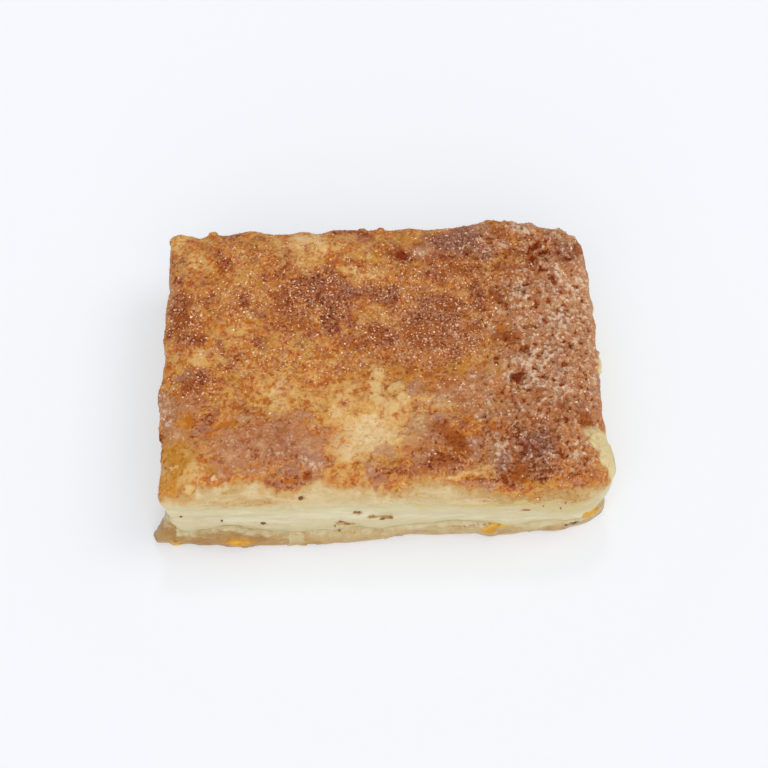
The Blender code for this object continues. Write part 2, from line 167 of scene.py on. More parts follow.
# The pale, pinkish crust where the sugar has clotted and dried
FROST = ellipses(
    (33, 2, 22, 52, 80), (31, -3, 11, 8, 95), (38.6, 15.4, 4.5, 4, 120), (29.5, 10, 7, 7, 90),
    (22, 5, 6, 3, 90), (36.5, 6, 8, 9, 95), (23, 24.5, 9, 7, 80), (33, 19, 5, 4, 85),
    (-19.5, -18, 22, 11, 75), (-36, -10, 8, 6, 60), (-37, -16, 6, 4, 80), (16, -9, 17, 8, 75),
    (28, -12, 15, 8, 80), (-13, -18.5, 5, 7, 95), (23.4, -22.4, 2.4, 5.5, 80), (30.8, -22.2, 2.2, 2.2, 120),
    (-1.3, -23.8, 2.6, 2.8, 120), (9.6, 23.1, 4.2, 3, 140), (8, 25.5, 7, 2, 50), (37, 22, 7, 9, 60),
    (18, 25, 8, 4, 60), (12, 4, 24, 20, 45), (9, -17, 9, 8, 60), (-27, -22, 8, 6, 75), (14, -24, 12, 4, 50),
    (29, -24, 14, 8, 50), (-16, -26.5, 8, 2.4, 60), (31, -1.8, 7, 7, 135), (34.6, 6, 6, 6, 130),
    (39.6, 14.4, 5, 5, 135), (28.6, -5, 5, 6, 120), (28, 14, 3.4, 6, 110), (36, 11, 8, 8, 115),
    (20, -5, 7, 3.4, 95), (8.5, -15.4, 6, 6, 85), (6.6, -18.4, 4, 4.4, 70), (37.4, -24.4, 6, 4.4, 70),
    (33, -9, 5, 4, 120), (41, 5.4, 3, 3, 120), (28.2, 13.4, 4, 6, 130), (34, 21.6, 2.4, 2, 100),
    (19.8, -28.4, 3.4, 1.6, 120), (20.4, 29, 4, 2, 110), (-12.5, -19.5, 4, 4, 110), (-28, -23.6, 5, 3, 85),
    (-27, -19, 8, 9, 75), (-22, -24, 5, 2.4, 100), (11.4, -13.6, 4, 3, 100), (-35.6, -3.4, 4, 1.6, 90),
    (41, 5, 6, 50, 100), (38, 27, 12, 5, 80), (20.4, 28, 6, 3, 90), (18, -28, 8, 3, 60),
    (29.5, 28.4, 9, 3, 120), (32.2, 20.8, 1.4, 1.2, 150), (33.4, 23.3, 1.6, 1.2, 150),
    (29.2, 23.4, 2, 1.4, 130), (29.4, 19, 1.6, 2.4, 120), (-39.6, -11, 4.4, 8.4, 140),
    (37.2, -20, 4.4, 3, 130), (12, -10, 4.4, 3, 100), (34.4, 17.4, 3.4, 6.4, 140),
    (35.6, 16.8, 1.8, 5, 170), (40.4, 15, 3.4, 5, 160), (31.6, -7.6, 5, 4, 120), (7.8, -7.6, 4, 3, 90),
    (-15, -12.8, 7, 3, 90), (21.6, -22, 5, 8, 90), (17, -22, 3, 5, 80), (1, -20.6, 4, 3, 80),
    (-12, -22, 5, 8, 110), (25, 8.5, 3, 3, 100), (-39.4, 15, 2.6, 12, 70), (26, -2, 4, 3, 110),
    (25.6, 14.8, 3, 3, 120), (-13.4, -21.4, 3, 3, 125), (-23.6, -20.6, 3, 3, 100), (25, -20.4, 3, 2, 110),
    (22.6, -24, 2, 3, 120), (18, -19.4, 6, 3, 85), (39.6, 15, 4, 4, 150), (32, 7, 4.4, 3.4, 135),
    (40.4, 4.6, 3.4, 3.6, 150), (25, -5.2, 3.4, 3, 135), (27.8, -8.2, 4, 3.4, 135),
    (-24.6, -12.8, 4, 2.4, 95), (20.6, -9.4, 4, 3, 120), (19.6, -13, 4, 3, 110), (8, -21.8, 4.4, 2.4, 90),
    (36.6, -23, 4, 3, 100),
)
# Grey-brown crust where cinnamon and dried sugar have mixed
MAUVE = ellipses(
    (17, 25.2, 11, 6.5, 100), (13, 22.6, 4, 3, 70), (21, 22, 5, 4, 80), (20, 28, 8, 3, 70),
    (38.5, 19.6, 5, 5, 60), (37, 22, 5, 6, 75), (41, 24, 3, 5, 60), (29, 28.4, 8, 3, 45),
    (-32, -15.4, 4, 3, 70), (-14, -21.6, 7, 5, 50), (-16.5, -24, 5, 3, 75), (20.5, -19, 5, 9, 50),
    (22.6, -24, 2.6, 6, 85), (29, -20, 8, 6, 85), (-4.5, 15, 15, 4, 60), (0, -26.8, 3.4, 2.2, 70),
    (33, 2, 5, 4, 50), (13, 19.6, 9, 7, 40), (-12.6, -22, 5, 6, 50), (-33.5, -2.6, 6, 3, 50),
    (7, -7, 3.4, 2.6, 60),
)
# Sugar that has boiled to a dark, clear caramel
CARAMEL = ellipses(
    (-36.4, 9, 4, 5, 85), (-34, 6, 4, 3, 75, -20), (4.2, 22.2, 4, 3, 90, -20), (25, 27, 3, 3.6, 95),
    (31.6, 17.6, 1.8, 3.4, 80), (27, 22, 3, 2.4, 70), (14.5, 10.4, 6, 2.6, 80),
    (8.4, 4.2, 3.4, 4.4, 85, 30), (25, 3.2, 5.4, 3, 100, 10), (14.4, -18.6, 4, 8, 85, 35),
    (10.6, -16, 3, 2, 80, -30), (12, -23, 6, 2.6, 70, 15), (25.6, -26, 3.4, 3.6, 95),
    (24.8, -22.4, 1.6, 4, 85), (29, -14.6, 4.4, 2.2, 90, -20), (-34.2, -6, 3.6, 4, 75, 20),
    (24.5, 19, 3.4, 2.6, 85), (20.2, 6, 2.4, 3, 70), (29, 1, 3.4, 2.4, 70), (13, 15.4, 2.6, 2.4, 70),
    (-2.6, 14, 2.4, 2.4, 60), (17.4, 18.6, 3, 4, 60), (25.4, 14, 2.4, 3, 70), (29.6, 14.6, 2, 3, 70),
    (0, 5.6, 3, 3.4, 70), (38.6, -16.6, 2, 2.6, 80), (37.4, -24, 4, 2.6, 50), (-3, 2.6, 2.4, 4, 50),
    (13.4, -6, 3, 2.4, 60), (34, -11.8, 3, 2.4, 70), (-31, 0.4, 3, 2.4, 40), (40.4, 22.4, 2.6, 4, 80),
    (8.6, 2.6, 3.4, 5, 90), (19, 5, 4, 3, 85), (30.8, 20.4, 2.8, 4, 95), (27.4, 18.6, 2.6, 2.6, 80),
    (23, 12, 2.4, 3.4, 80), (38.4, -15.4, 2.6, 4.4, 90), (15.2, -9.4, 2.4, 4, 60), (-18.5, 11.4, 3, 3, 70),
    (6.3, -3.3, 2.4, 2, 85), (9.6, -4.4, 2.4, 2, 75), (2.7, -5.2, 1.8, 2.6, 60), (10.2, -7.6, 4, 1.4, 60),
    (11, 6.6, 9, 4, 60), (11, 2.4, 8, 3.4, 55), (14, -6, 2.4, 4, 60), (-13.6, 6.6, 2.4, 2.4, 60),
    (-37, 7, 3, 4, 60), (-7.8, 15, 3, 3, 90), (9, 25, 2.4, 2, 60), (11.6, 22, 2.4, 2.4, 60),
    (17, 19, 4, 3, 85), (7.6, 4.4, 5, 4, 100), (30.4, -8.6, 2.4, 2, 75), (25.6, -11, 4, 3, 70),
    (-17.6, -17, 2.6, 5, 60), (0.6, 5, 4, 3, 60), (-12.4, 13.8, 3, 2.4, 60),
)
# Melted sugar that has run together to a clear golden glaze
SYRUP = ellipses(
    (-37, -22, 8, 13, 100), (-35.2, -13, 2.6, 5, 80), (-27, -14, 7, 1.6, 80, 10), (-0.3, 22, 3, 3, 130),
    (24, 27, 3, 4, 85), (26, 21, 7, 2.6, 85), (24.5, 18.5, 4.5, 3, 40), (21, -23, 2.2, 5.5, 90),
    (25.5, -27, 5, 2, 80), (29, -28.2, 7, 1.8, 70), (23, 3, 8, 4, 65), (27, 6, 7, 2.6, 55),
    (23, -4, 7, 4, 60), (5.5, -4, 9, 3.6, 65), (16, -3.5, 7, 5, 60), (-21, 26, 9, 3, 55),
    (7, 26.4, 5.5, 2.6, 65), (8, 19.4, 9, 3.6, 50), (-30.5, 11, 4, 16, 40), (-23, 18, 9, 5, 45),
    (31, 5, 3, 1.6, 90), (33, 12, 5, 1, 70, 20), (-9, -12, 4, 6, 50), (20, 20, 16, 3, 40),
    (-33, -28, 8, 1.6, 60), (-27, -3.6, 4, 4, 60), (-8, -12, 3, 2.4, 60), (-33, -17.6, 4, 2.4, 60),
    (-30, -23.5, 3, 3, 70), (-20, 3.6, 4, 4, 50), (-36, 4.6, 3, 2.4, 50),
)
# Where the topping has come off the edge and the dough is bare
PEELED = ellipses(
    (39.4, -17.9, 4.6, 2.6, 70, -6), (40.9, -20, 4, 4.6, 100), (41.9, -23, 3, 5.4, 100),
    (42.7, -26, 1.8, 4, 100), (43.4, -3.9, 3, 7, 100),
)
# Where single sugar grains glitter
GLITTER = ellipses(
    (-25, 14, 14, 10, 80), (-11, 13, 17, 14, 100), (10, 5, 24, 14, 100), (0, 0, 22, 9, 50),
    (-22, 0, 20, 9, 50), (4, 17, 18, 12, 100), (18, 13, 12, 18, 90), (-36, 9, 8, 14, 70),
    (-18, 23, 22, 8, 60), (-34, -5, 8, 6, 80), (33, 4, 16, 34, 18), (12, -9, 20, 8, 15),
    (18, 25, 14, 8, 50), (27, 20, 10, 12, 40),
)
# Pits in the clotted crust, sunk and painted dark: caramel and painted shade. The stronger, the deeper
PITS = ellipses(
    (26.4, -6, 2.2, 2, 100, 20), (27.4, -5.1, 1.6, 1.3, 80), (5.6, 22.4, 3.6, 2.2, 80, -20),
    (13.6, 22, 1.6, 1, 70), (15.4, 21.6, 1.8, 1.1, 80), (18.4, 22.3, 1.5, 1.5, 80),
    (20.3, 21.2, 2.2, 1, 70, -20), (30.9, 22.8, 2.8, 1, 100, 35), (33.2, 22, 2.6, 1.2, 150, 15),
    (32, 23.9, 1.5, 1.3, 120), (30.9, 20.2, 1.2, 2.2, 110), (32.3, 18.2, 1.3, 1.3, 120),
    (34.1, 18.3, 0.8, 1.6, 70), (34.2, 16.2, 1.5, 1.4, 90), (37.4, 20.2, 2.6, 1, 85, 20),
    (24.2, 12.4, 1.5, 1.3, 80), (24, 11, 1.3, 0.9, 70), (27.9, 0.1, 1.8, 1.4, 80),
    (28.9, -0.9, 1.5, 1.1, 80), (32.2, 1.2, 1.1, 0.9, 70), (37, 0.5, 1.1, 1.4, 70),
    (31.4, -5.9, 1.6, 1, 80), (30.2, -3.4, 1, 1, 60), (35.2, 8.2, 1, 1.1, 60), (37.2, -12.4, 1.1, 1, 60),
    (38.6, -13.6, 1.2, 0.9, 70), (37.6, -15.6, 2.2, 0.9, 70), (26.6, -21, 1.1, 2.4, 80, -30),
    (34.2, -22.6, 1, 1.4, 60), (22.4, 26, 1.2, 1, 50), (-19.2, -25, 2, 1.2, 70),
    (-13.2, -25.2, 2, 1.2, 80, 30), (29, -10.4, 1.2, 1, 50), (33, -15.2, 1, 1.4, 60),
    (24, -14.4, 1.4, 1, 60), (31, 11.6, 2.6, 0.8, 50, 20), (29.8, 5, 2.2, 0.9, 50, 10),
    (31.6, 5.4, 1.6, 0.9, 50), (22.8, 6.6, 2, 0.8, 50),
)
# Orange cracks between the clots, where the sugar ran clear
CRACKS = ellipses(
    (-34.8, -13, 1.9, 4.2, 100), (-27.8, -14, 5.4, 1.4, 100, 20), (-24.4, -17, 2, 0.9, 100),
    (-28.1, -23.5, 1.6, 1, 100), (-30.6, -23.4, 1.1, 1.2, 90), (-21.4, -14, 2.2, 1, 90, 10),
    (-30.1, -12.9, 1.6, 1.2, 80), (-38.2, -12.2, 2.2, 0.9, 80, 10), (-31.4, -16.6, 2.6, 1.6, 80),
    (-23.4, -22.7, 1, 1.2, 80), (-16, -26.1, 2.6, 1.1, 100), (-13, -25.2, 1.4, 2, 100, -30),
    (-8, -24.6, 1.6, 1.4, 90), (8.2, -24.6, 2.4, 1.2, 70), (22.5, 24.4, 2.6, 2.4, 50),
    (27.3, 19.7, 3, 1.2, 80, -15), (27, 9.1, 1.8, 0.8, 90, 20), (30.4, 11.7, 2.8, 0.8, 90, 20),
    (24, 4.9, 4, 2, 80, 10), (29.7, 5.3, 2.6, 1, 100, 8), (25.4, 17.3, 2.4, 1.2, 70, 30),
    (38.6, -28.4, 2.2, 0.8, 60), (27.2, -27.8, 3, 1, 80, -8),
)
# What stands up from the top: knobs, clots and humps of the back rim, by hundredths of a mm
KNOBS = ellipses(
    (-34.6, -27.1, 2.4, 2.2, 40), (9.6, 23.1, 3.2, 2.2, 40), (-0.3, 22, 2.4, 2.4, 30),
    (38.8, 15.4, 2.4, 2, 40), (15.5, -25.9, 11, 1.1, 35, 7), (23.4, -22.4, 2, 5, 15),
    (-1.3, -23.8, 2.2, 2.4, 35), (-31, -26.9, 1.6, 1.2, 40), (-39.4, 27.6, 1.6, 2.4, 60),
    (-38.4, 28.6, 2.6, 1.2, 50), (38.6, 25, 7, 4, 60, -45), (29.2, 28.6, 6.5, 4, 110),
    (43, -3.9, 2.5, 7, 70), (-24.5, 29, 8, 2.4, 40), (-6, 29, 8, 2.4, 40), (-41, -19, 3, 5, 50),
    (-31.4, 28.8, 1.4, 1.2, 60), (-2, 28.8, 1.5, 1.2, 60), (1.8, 28.8, 1.2, 1, 50),
    (-18, -6.2, 3.2, 2.2, 30, 20), (12, -11.2, 3.2, 2, 30),
)
# Pale dough that stands up: the hook in the middle, and blisters and lumps
PALE_DOUGH = ellipses(
    (-33.4, -23.5, 4.4, 5.6, 55), (-34.6, -27.1, 2.3, 2, 90), (-37.6, -22.8, 1.6, 1.2, 80),
    (-29.9, -25, 1.4, 1, 110), (0.2, -4.4, 2.6, 4, 85), (-0.3, -7.4, 2.8, 5, 90),
    (0.5, -9.9, 3.4, 3, 86, -35), (2.6, -11, 4.8, 3, 90, -12), (5, -9.4, 2.8, 4.2, 86),
    (3.7, -7.2, 3.8, 2.4, 80, 15), (12, -11, 6, 4.4, 55), (9.2, -9.4, 6, 2.4, 55, -10),
    (7.8, -14.4, 3.2, 5, 65), (6.6, -17.4, 2.2, 3, 40),
)
# The rest is on the front, so x and height. Brown smears on the filling
SMEARS = ellipses(
    (-7.4, 5, 3.4, 3.4, 50), (-10.5, 5.6, 3.4, 0.9, 35, -40), (23.7, 10.2, 2.2, 1, 60),
    (-4, 10.8, 1.9, 1.7, 110), (-6.3, 6.3, 4.6, 1.5, 120, -15), (-8, 2.9, 1.2, 2, 70),
    (-0.9, 8.8, 4.2, 1.2, 115, 6), (1.2, 8.5, 2.6, 2.2, 135), (26.8, 9.8, 2.6, 1.1, 95, 8),
    (24.5, 12.6, 10, 2.6, 55), (31.5, 12.6, 8, 2.2, 40), (-21.7, 7.4, 1.6, 1.2, 70, -20),
    (-36.4, 11.2, 1, 0.9, 50), (-14, 17.6, 1.6, 1.4, 60),
)
# Where the filling has yellowed under the crust
YELLOWED = ellipses(
    (9.5, 14.4, 12, 7, 55), (19, 14.5, 24, 7, 95, -4), (33, 13, 16, 9.4, 100, -6),
)
# A lighter band low on the filling's cut side: a painted highlight
CREAM_HIGHLIGHT = ellipses(
    (-24.5, 9, 12, 4, 90), (-8, 9.6, 22, 3, 90, -3), (10, 8, 22, 3.2, 70, -4), (30, 6.7, 22, 2.6, 45),
)
# Where the oven toasted the upper crust's cut side
TOASTED = ellipses(
    (-21.7, 16, 9, 4, 75), (-26.6, 20.4, 4, 3, 70), (-14, 17.6, 1.8, 1.6, 90), (21.4, 15.4, 8, 6, 70),
    (25, 12.4, 8, 2.6, 90), (35.8, 14, 7, 5, 80), (8, 16.5, 8, 3, 48), (-5, 17, 12, 3, 35),
    (-33, 17.6, 5, 3, 50), (15, 16, 5, 4, 42), (-25, 16.4, 22, 6, 56), (28, 15.4, 16, 7, 85),
)
# Crumbs and pricks on the front: the strength is how light, from scorched to toasted
CRUMBS = ellipses(
    (-36.5, 11.1, 0.6, 0.9, 10), (-28.9, 8.9, 0.5, 0.7, 20), (-21.8, 7.1, 1.1, 1.2, 10, -25),
    (-13.8, 17.5, 0.9, 1.2, 0, -15), (-4, 11, 0.9, 0.9, 35), (-3.9, 10.8, 0.5, 0.7, 0),
    (-1.2, 9, 1.2, 0.4, 60, 6), (1.6, 8.7, 0.8, 0.9, 50), (1.9, 8.2, 0.4, 1.2, 15), (0.9, 7.7, 1, 0.4, 25),
    (-7.5, 6.8, 1.2, 0.4, 40, -20), (-6, 5.7, 1.3, 0.5, 50, -30), (-8.1, 3.4, 0.4, 1.2, 40, 10),
    (-8.4, 5.2, 0.3, 1, 50), (26.9, 9.4, 1.4, 0.6, 50, 12), (33.6, 10.3, 0.3, 0.5, 40),
    (34.3, 12.9, 0.3, 0.5, 40), (30.6, 11.6, 0.3, 0.6, 50), (35, 2.8, 0.7, 0.5, 20, 10),
    (35.9, 3.2, 0.5, 0.5, 30, 20), (36.8, 3.8, 0.5, 0.6, 10, 30),
)
# Golden butter crust: a band at the right end, over the filling and the base, and bits on the base
GOLDEN_BAND = ellipses((39.5, 7.3, 5.4, 1.6, 110, 50))
GOLDEN_BITS = GOLDEN_BAND + ellipses(
    (23, 4.2, 6, 3, 100, 10), (20.4, 2, 3, 2.4, 95, -20), (-26.4, 0.4, 5, 3.4, 80),
    (-38.8, 0.4, 2.2, 2.2, 90), (-15, 2.4, 7, 1.4, 35), (-6.5, 2.6, 8, 1.2, 30),
)
# Where the base is scorched
SCORCHED_BITS = ellipses(
    (17.5, 3.9, 9, 1.8, 46, 4), (36.4, 3.2, 2.6, 1, 100, 25), (-32, 3.6, 7, 1, 35, 10),
    (-22, 3.2, 8, 0.9, 30, -5),
)

# The ivory of the filling, which the crust's side takes on towards the seam
CREAM = "#D2C69C"


def linear(shade):
    """A hex sRGB colour as linear red, green, blue and alpha."""
    parts = [int(shade[i:i + 2], 16) / 255 for i in (1, 3, 5)]
    return (*(p / 12.92 if p <= 0.04045 else ((p + 0.055) / 1.055) ** 2.4 for p in parts), 1.0)


def ease(value, low, high):
    """0 below low, 1 above high, and a smooth step between."""
    share = np.clip((value - low) / (high - low), 0.0, 1.0)
    return share * share * (3 - 2 * share)


def only(piece):
    """Selects one object and nothing else."""
    bpy.ops.object.select_all(action="DESELECT")
    piece.select_set(True)
    bpy.context.view_layer.objects.active = piece


def shaped(piece, kind, **settings):
    """Adds a modifier with its settings and applies it."""
    only(piece)
    modifier = piece.modifiers.new(kind.title(), kind)
    for key, value in settings.items():
        setattr(modifier, key, value)
    bpy.ops.object.modifier_apply(modifier=modifier.name)


@contextmanager
def editing(kind="VERT"):
    """Edit mode on the active object and what is selected of it, with nothing selected after."""
    bpy.ops.object.mode_set(mode="EDIT")
    bpy.ops.mesh.select_mode(type=kind)
    yield
    bpy.ops.mesh.select_all(action="DESELECT")
    bpy.ops.object.mode_set(mode="OBJECT")


def read(items, name, width=3, kind=np.float32):
    """What each point, face or triangle holds under that name, one row each."""
    values = np.empty(len(items) * width, kind)
    items.foreach_get(name, values)
    return values.reshape(-1, width)


def points_of(piece):
    """The piece's points in millimetres and their normals, one row each."""
    return read(piece.data.vertices, "co") / MM, read(piece.data.vertex_normals, "vector")


def uneven(places, size, seed):
    """Soft noise from about -1 to 1 at each place, with features of that size in millimetres."""
    shift = Vector((seed * 7.3, seed * 3.1, seed * 5.7))
    return np.array([noise.noise(Vector(p) / size + shift) for p in places.tolist()]) * 1.6


def wandering(places, size, reach, seed):
    """An uneven shift to the right and to the back for each place, with that reach in millimetres."""
    return np.array([uneven(places, size, seed + n) for n in (0, 20)]) * reach


def seen_on_top(places):
    """Where the camera sees each point on the level plane of the top: x and y."""
    return places[:, 0], places[:, 1] + (places[:, 2] - TOP_LEVEL) / tan(CAMERA_HEIGHT)


def seen_on_front(places):
    """Where the camera sees each point on the upright plane of the front: x and height.

    Points behind the front are put where no patch reaches them."""
    x = np.where(places[:, 1] < FRONT_LIMIT, places[:, 0], OUT_OF_SIGHT)
    return x, places[:, 2] + (places[:, 1] - FRONT_PLANE) * tan(CAMERA_HEIGHT)


def covered(patches, x, y, wander=(0.0, 0.0), softness=0.5):
    """The strongest of the patches at each place, 0 outside them; wander shifts the places."""
    most = np.zeros(len(x))
    for patch in patches:
        turn = radians(patch.turn)
        right, back = x + wander[0] - patch.x, y + wander[1] - patch.y
        along = (right * cos(turn) + back * sin(turn)) / (patch.across / 2)
        aside = (back * cos(turn) - right * sin(turn)) / (patch.deep / 2)
        inside = ease(-np.hypot(along, aside), -1 - softness, -1 + softness)
        most = np.maximum(most, patch.amount * inside)
    return most


def painted(piece, name, amounts):
    """Keeps an amount for each point as an attribute that the materials read."""
    attribute = piece.data.attributes.new(name, "FLOAT", "POINT")
    attribute.data.foreach_set("value", np.asarray(amounts, np.float32))


def amount_on(piece, name):
    """What an attribute holds at each point."""
    return read(piece.data.attributes[name].data, "value", 1)[:, 0]


def weighed(piece, name, amounts, steps=50):
    """A vertex group for the modifiers, with its weights in so many steps."""
    group = piece.vertex_groups.new(name=name)
    levels = np.round(np.clip(amounts, 0, 1) * steps).astype(int)
    for step in range(1, steps + 1):
        group.add(np.flatnonzero(levels == step).tolist(), step / steps, "REPLACE")
    return group.name


def raised(piece, height, group="", size=0, depth=1):
    """Displaces a piece outwards by a height, or in and out in clouds of a size, in millimetres."""
    settings = {"strength": height * MM, "vertex_group": group, "mid_level": 0.0}
    if size:
        texture = bpy.data.textures.new(f"relief_{size}", "CLOUDS")
        texture.noise_scale = size * MM
        texture.noise_depth = depth
        settings.update(texture=texture, mid_level=0.5)
    shaped(piece, "DISPLACE", **settings)


def pressed(piece, patches, height, x, y, wander=(0.0, 0.0)):
    """Raises or sinks the patches of a piece, each to its own strength times the height."""
    tallest = max(patch.amount for patch in patches)
    group = weighed(piece, "patches", covered(patches, x, y, wander, 0.45) / tallest)
    raised(piece, height * tallest, group)
    piece.vertex_groups.clear()


def thinned(piece, hidden, share):
    """Thins out the faces that nobody sees, inside the bar or under it."""
    only(piece)
    mesh = piece.data
    for items in (mesh.vertices, mesh.edges):
        items.foreach_set("select", np.zeros(len(items), bool))
    mesh.polygons.foreach_set("select", hidden(read(mesh.polygons, "normal")[:, 2]))
    with editing("FACE"):
        bpy.ops.mesh.decimate(ratio=share)


def depth_from(places, normals, upward):
    """How far each point lies below the piece's top (upward 1) or above its underside (upward -1)."""
    level = places[normals[:, 2] * upward > 0.8]
    tree = KDTree(len(level))
    for index, place in enumerate(level.tolist()):
        tree.insert((place[0], place[1], 0), index)
    tree.balance()
    nearest = [tree.find((place[0], place[1], 0))[1] for place in places.tolist()]
    return upward * (level[nearest, 2] - places[:, 2])


def set_down(piece):
    """Flattens what has sunk below the table on to it."""
    only(piece)
    for vertex in piece.data.vertices:
        vertex.select = vertex.co.z < 0
    with editing():
        bpy.ops.transform.resize(value=(1, 1, 0), center_override=(0, 0, 0))


def skin_of(node, voxel, overlap=0.0):
    """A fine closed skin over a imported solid, with its flat facets eased away."""
    piece = bpy.data.objects.new(node + "_skin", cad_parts[node].data.copy())
    bpy.context.collection.objects.link(piece)
    piece.data.materials.clear()
    only(piece)
    with editing():
        bpy.ops.mesh.select_all(action="SELECT")
        bpy.ops.mesh.remove_doubles(threshold=WELD)
    for up in (1, -1) if overlap else ():
        level = [face for face in piece.data.polygons if face.normal.z * up > 0.3]
        for vertex in {v for face in level for v in face.vertices}:
            piece.data.vertices[vertex].select = True
        with editing():
            bpy.ops.transform.translate(value=(0, 0, up * overlap * MM))
    shaped(piece, "REMESH", mode="VOXEL", voxel_size=voxel * MM)
    shaped(piece, "SMOOTH", factor=0.5, iterations=6)
    return piece


def settled(piece, node, material):
    """Gives a finished piece its material and its place in the part."""
    piece.data.materials.clear()
    piece.data.materials.append(material)
    only(piece)
    bpy.ops.object.shade_smooth()
    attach(piece, "root")
    if node:
        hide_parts(node)


def top_crust():
    """The upper dough with its cinnamon sugar: crags, pits and knobs, then the coats to paint."""
    piece = skin_of("top_crust", 0.3)
    thinned(piece, lambda upward: upward < -0.6, 0.06)
    places, normals = points_of(piece)
    above_seam = depth_from(places, normals, -1)
    x, y = seen_on_top(places)
    upper = ease(places[:, 2], 14.5, 17.5)
    clotted = np.maximum(ease(x, 8, 24), 0.3 * covered(FROST, x, y))
    flush = weighed(piece, "flush", ease(-above_seam, -3.2, -0.6))
    inward = ease(normals[:, 2], 0.1, 0.8)
    # The back rim and the rounded corners keep a calmer outline
    corner = np.hypot(np.maximum(x - ROUNDED_CORNER[0], 0), np.maximum(abs(y) - ROUNDED_CORNER[1], 0))
    calm = np.maximum(ease(y, 26, 29), ease(corner, 7, 9.5))
    lumpy = weighed(piece, "lumpy", upper * (0.15 + 0.85 * inward) * (0.2 + 0.8 * clotted) * (1 - 0.7 * calm))
    grainy = weighed(piece, "grainy", 0.3 + 0.7 * upper * clotted)
    doughy = weighed(piece, "doughy", 1 - upper)
    raised(piece, SEAM_SWELL, flush)
    before = points_of(piece)
    raised(piece, 1.1, lumpy, 1.35, 2)
    raised(piece, 1.2, lumpy, 0.75)
    raised(piece, 0.35, grainy, 0.45)
    relief = np.einsum("ij,ij->i", points_of(piece)[0] - before[0], before[1])
    raised(piece, 0.5, doughy, 2.4)
    crooked = wandering(places, 0.9, 0.4, 30)
    pressed(piece, PITS, -0.7, x, y, crooked)
    pressed(piece, CRACKS, -0.3, x, y, crooked)
    pressed(piece, KNOBS, 1, x, y, crooked)
    pressed(piece, PALE_DOUGH, 0.55, x, y, crooked)
    # The points have moved, so the painting starts from their new places. The topping ends along
    # FRONT_EDGE in front, and at a height, a little below the upper edge, everywhere else
    places = points_of(piece)[0]
    x, y = seen_on_top(places)
    wander = wandering(places, 3.2, 0.9, 1) + wandering(places, 1.2, 0.5, 2)
    ragged = uneven(places, 1.3, 3) * 0.5 + uneven(places * (1, 0.3, 0.3), 0.8, 9) * 0.5
    past_edge = y - np.interp(x, *zip(*FRONT_EDGE)) + ragged
    drop = places[:, 2] + ragged + uneven(places, 4.0, 4) * 0.6
    at_front = ease(-places[:, 1], 24, 27)
    peeled = covered(PEELED, x, y, wander * 0.25, 0.5)
    topping = ease(past_edge, -1.2, 1.0) * at_front + ease(drop, 15.2, 16.8) * (1 - at_front)
    stained = ease(past_edge, -3.6, 0.4) * at_front + ease(drop, 13.5, 16.5) * (1 - at_front)
    painted(piece, "topping", topping * (1 - peeled))
    painted(piece, "stained", stained * (1 - peeled))
    painted(piece, "peeled", peeled)
    dough = covered(PALE_DOUGH, x, y, crooked, 0.85)
    bare = np.maximum(covered(BARE, x, y, wander, 0.8), dough)
    painted(piece, "bare", bare)
    painted(piece, "dough", dough)
    painted(piece, "cinnamon", covered(CINNAMON, x, y, wander, 0.65) * (1 - 0.5 * np.minimum(bare, 1)))
    frost = covered(FROST, x, y, wander, 0.85)
    painted(piece, "frost", frost)
    # Pale on the raised crags and dark in the crevices, by the relief: dried sugar and caramel, with painted
    # highlight and painted shade
    painted(piece, "crag_crust_and_highlight", frost * ease(relief, -0.1, 0.35))
    painted(piece, "crevice_caramel_and_shade", ease(-relief, 0.12, 0.5) * (0.25 + 0.75 * clotted))
    painted(piece, "mauve", covered(MAUVE, x, y, wander))
    painted(piece, "caramel", covered(CARAMEL, x, y, wander * 0.7))
    painted(piece, "cracked", covered(CRACKS, x, y, crooked))
    painted(piece, "smooth", np.maximum(ease(bare, 0.4, 1), 0.6 * ease(-x, 0, 6) * ease(-y, 11, 15)))
    painted(piece, "syrup", covered(SYRUP, x, y, wander * 0.6))
    painted(piece, "pit", np.minimum(covered(PITS, x, y, crooked), 1) * (1 - peeled))
    x, z = seen_on_front(places)
    painted(piece, "creamy", ease(-above_seam, -3.0, -0.3) * (1 - 0.8 * covered(YELLOWED, x, z)))
    toasted = covered(TOASTED, x, z, wander * 0.6)
    painted(piece, "toasted", toasted * (1 - 0.5 * ease(-above_seam, -1.6, -0.2)))
    settled(piece, "top_crust", caramelised_cinnamon_sugar())
    return piece


def filling():
    """The cream cheese between the crusts, cut smooth."""
    piece = skin_of("cream_filling", 0.36, FILLING_OVERLAP)
    thinned(piece, lambda upward: abs(upward) > 0.6, 0.05)
    places, normals = points_of(piece)
    above_base = depth_from(places, normals, -1)
    flush = weighed(piece, "flush", ease(-depth_from(places, normals, 1), -4.5, -1.0))
    raised(piece, SEAM_SWELL + 0.15, flush)
    raised(piece, 0.45, "", 3.5)
    raised(piece, 0.12, "", 0.9)
    piece.vertex_groups.clear()
    places = points_of(piece)[0]
    x, z = seen_on_front(places)
    pressed(piece, GOLDEN_BAND, 0.3, x, z)
    wander = wandering(places, 1.2, 0.3, 5)
    painted(piece, "smeared", covered(SMEARS, x, z, wander))
    painted(piece, "yellowed", covered(YELLOWED, x, z, wander))
    # A lighter band low on the cut side, painted as a highlight
    painted(piece, "cream_highlight", covered(CREAM_HIGHLIGHT, x, z, wander, 0.8))
    painted(piece, "golden", covered(GOLDEN_BAND, x, z, wander))
    painted(piece, "buttery", ease(-above_base, -1.8, 0.6))
    settled(piece, "cream_filling", cream_cheese())
    return piece


